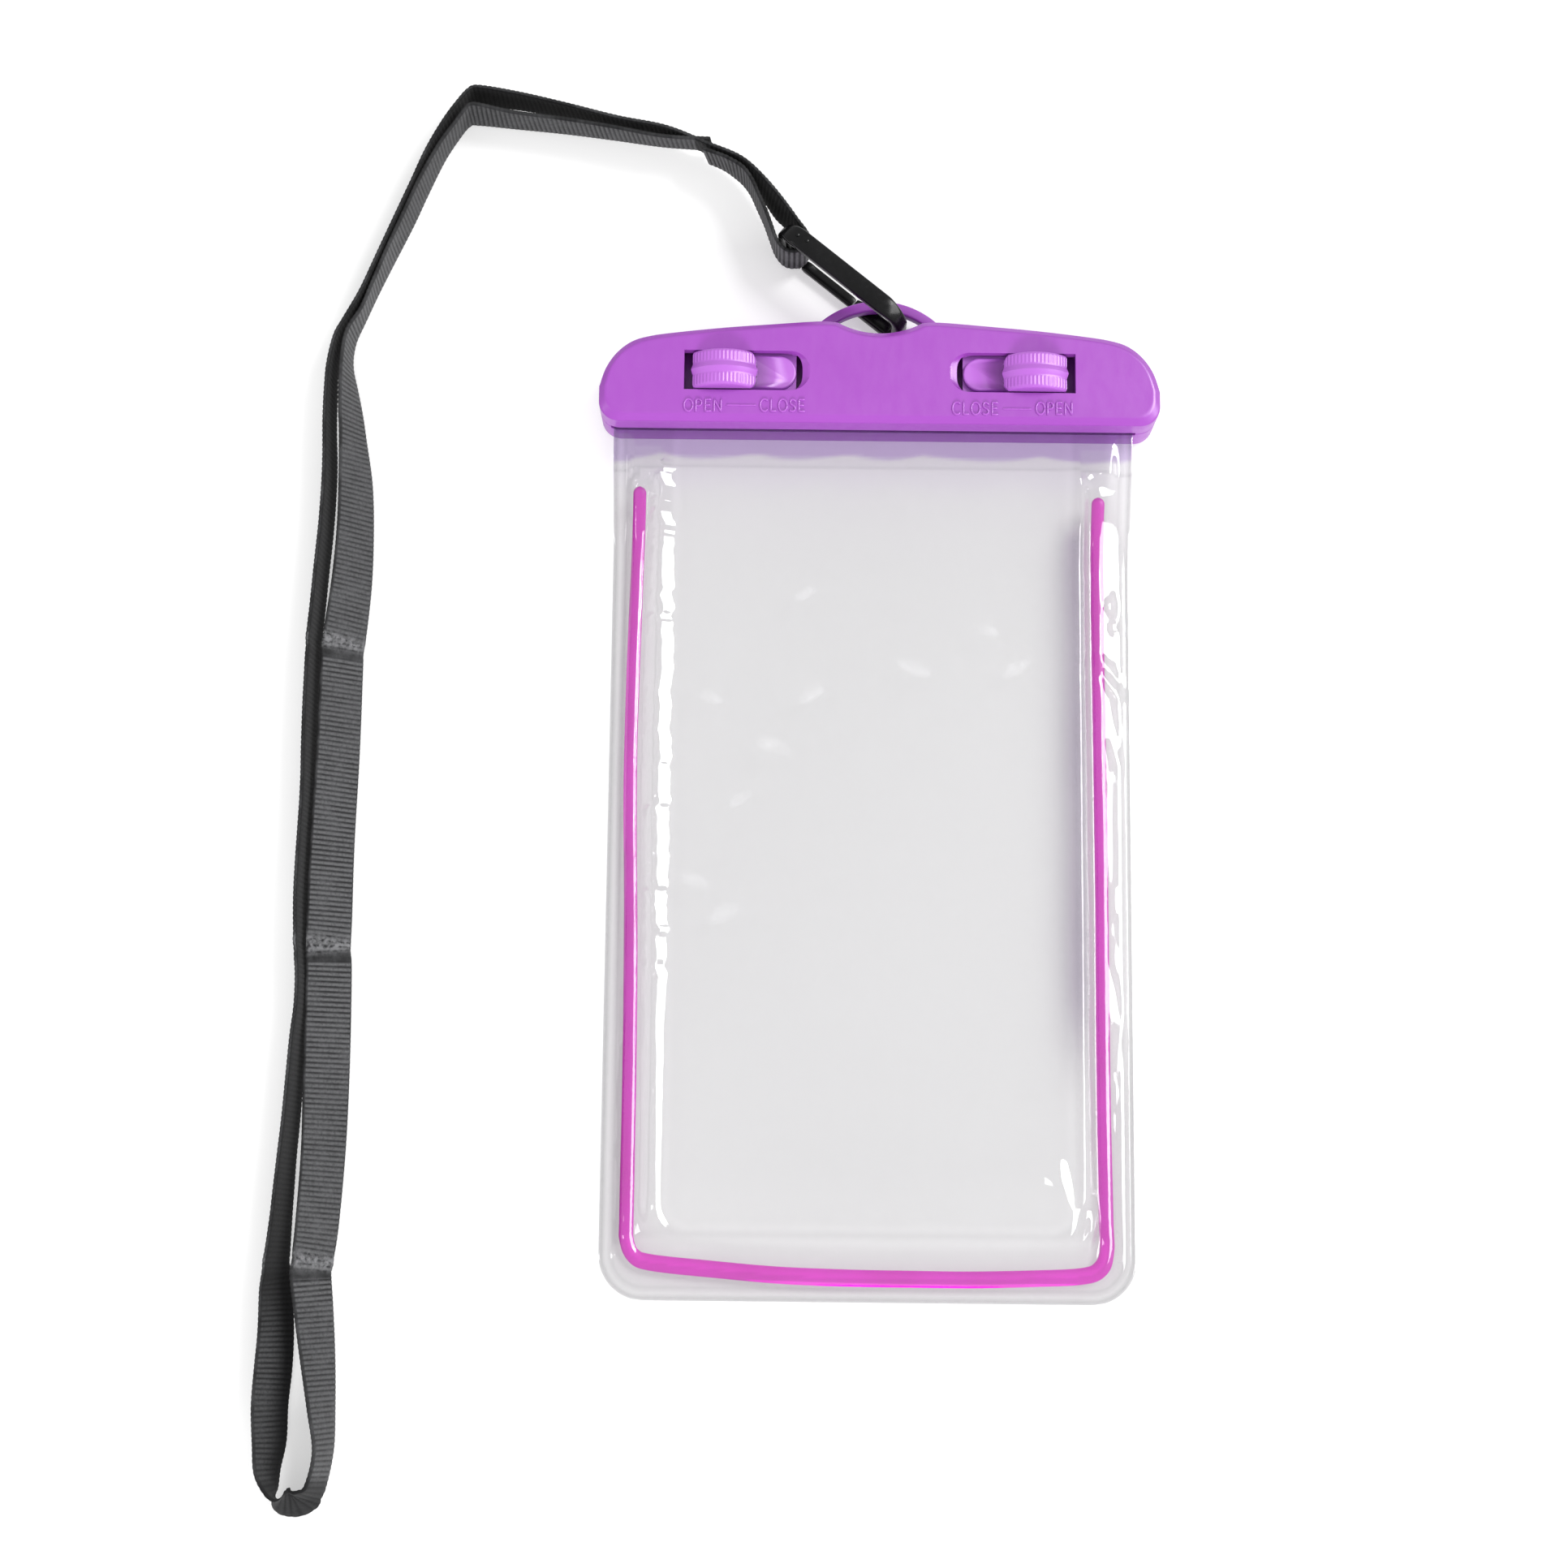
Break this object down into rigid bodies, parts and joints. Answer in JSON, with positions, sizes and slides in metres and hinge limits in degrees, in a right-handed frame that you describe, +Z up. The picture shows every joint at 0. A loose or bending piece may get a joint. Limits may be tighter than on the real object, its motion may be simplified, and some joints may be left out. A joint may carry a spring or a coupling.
{
  "type": "waterproof phone pouch",
  "caption": "Clear film pouch for a phone with a rigid clamp closure, sliding locks, a soft bead round the window, and a webbing neck strap on a snap clip.",
  "frame": {"origin": "middle of the pouch and clamp seen from above, at the surface that it lies on; the neck strap and its clip are not counted", "axes": "+X to the right across the clamp, +Y from the bag's bottom towards the clamp, +Z up out of the front face"},
  "size_m": [0.1785, 0.293, 0.0176],
  "materials": {
    "clamp": "satin moulded violet",
    "slider": "satin moulded violet with knurled bands",
    "film": "clear glossy film with soft wrinkles",
    "bead": "soft magenta strip",
    "clip": "glossy black",
    "webbing": "flat charcoal webbing with cross ribs"
  },
  "bodies": {
    "pouch": {"rear_jaw": "clamp", "back_film": "film", "front_film": "film", "u_bead": "bead", "clip_hook": "clip", "neck_strap": "webbing"},
    "front_jaw": {"front_jaw": "clamp"},
    "left_lock": {"lock_slider_left": "slider"},
    "right_lock": {"lock_slider_right": "slider"},
    "clip_gate": {"clip_gate": "clip"}
  },
  "joints": [
    {"name": "jaw_hinge", "type": "hinge", "parent": "pouch", "child": "front_jaw", "pos_m": [0, 0.074, 0.00775], "axis": [1, 0, 0], "range_deg": [0, 35]},
    {"name": "left_lock_slide", "type": "slide", "parent": "front_jaw", "child": "left_lock", "axis": [1, 0, 0], "range_m": [0, 0.008]},
    {"name": "right_lock_slide", "type": "slide", "parent": "front_jaw", "child": "right_lock", "axis": [-1, 0, 0], "range_m": [0, 0.008]},
    {"name": "gate_hinge", "type": "hinge", "parent": "pouch", "child": "clip_gate", "pos_m": [-0.01559, 0.11218, 0.00145], "axis": [-0.6293, -0.7771, 0], "range_deg": [0, 20], "stiffness_Nm_per_rad": 0.004}
  ]
}
